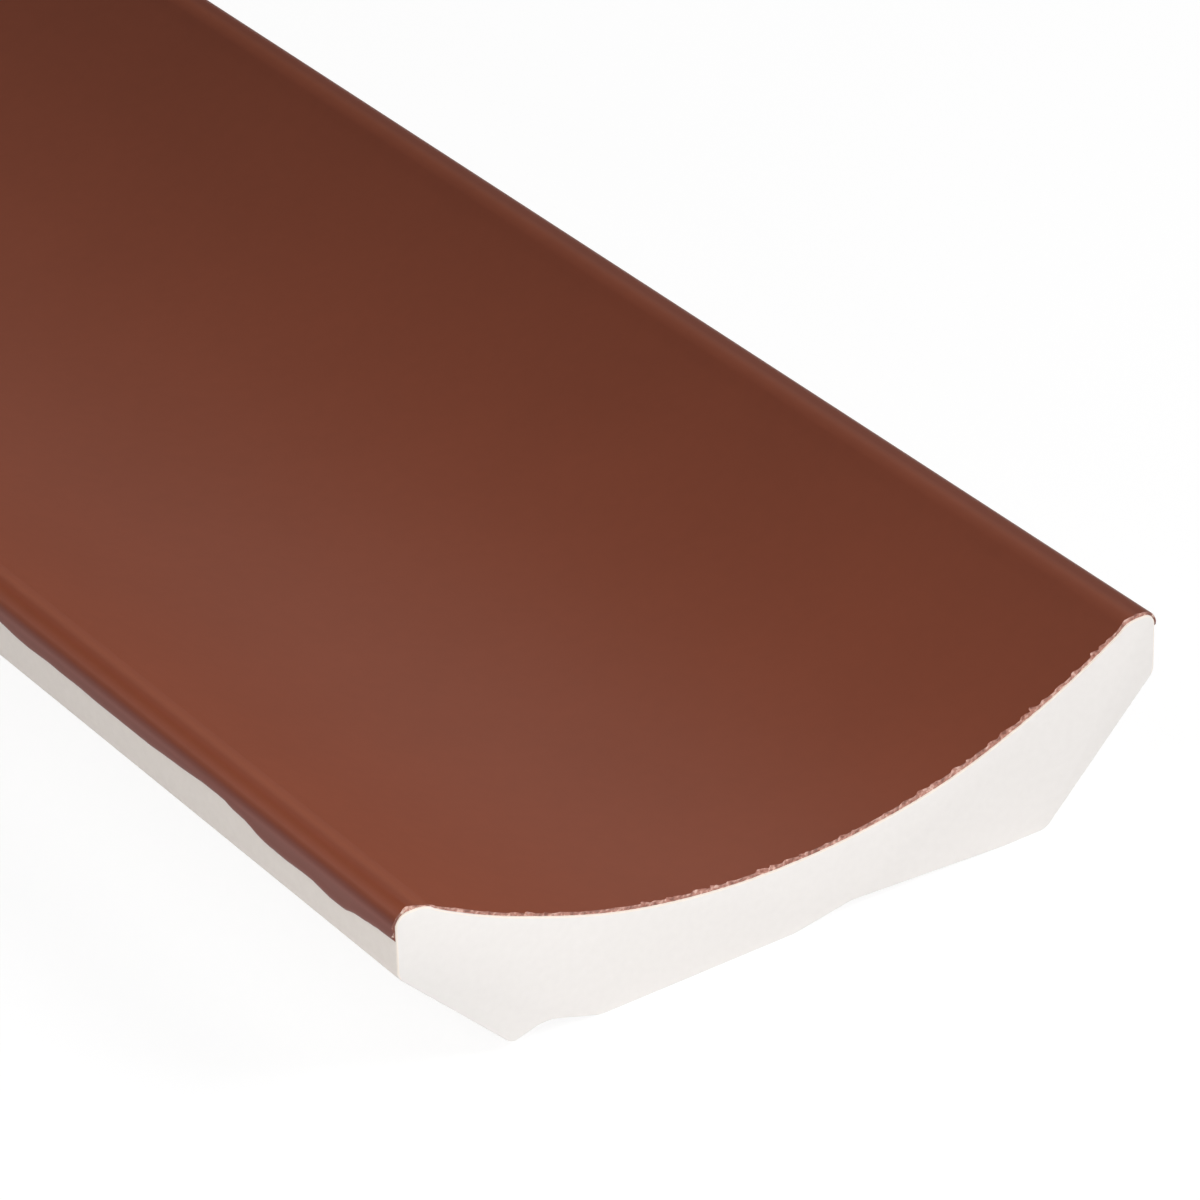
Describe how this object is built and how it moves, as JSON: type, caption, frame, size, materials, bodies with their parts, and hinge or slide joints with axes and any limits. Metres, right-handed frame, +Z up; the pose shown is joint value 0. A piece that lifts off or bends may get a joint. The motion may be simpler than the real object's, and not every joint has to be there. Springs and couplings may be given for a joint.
{
  "type": "fluted wall tile",
  "caption": "Concave wall tile hollowed lengthways by a broad flute, glazed over its face and rims, with bevelled lower sides and shallow key grooves along a bare back.",
  "frame": {"origin": "on the resting plane of the back, under the middle of the tile", "axes": "+X across the flute, +Y along it, +Z up out of the glazed face"},
  "size_m": [0.065, 0.2, 0.0149],
  "materials": {
    "glaze": "satin red-brown glaze",
    "bisque": "bare fired body, fine and matte"
  },
  "bodies": {
    "root": {"tile": "glaze"}
  },
  "joints": []
}
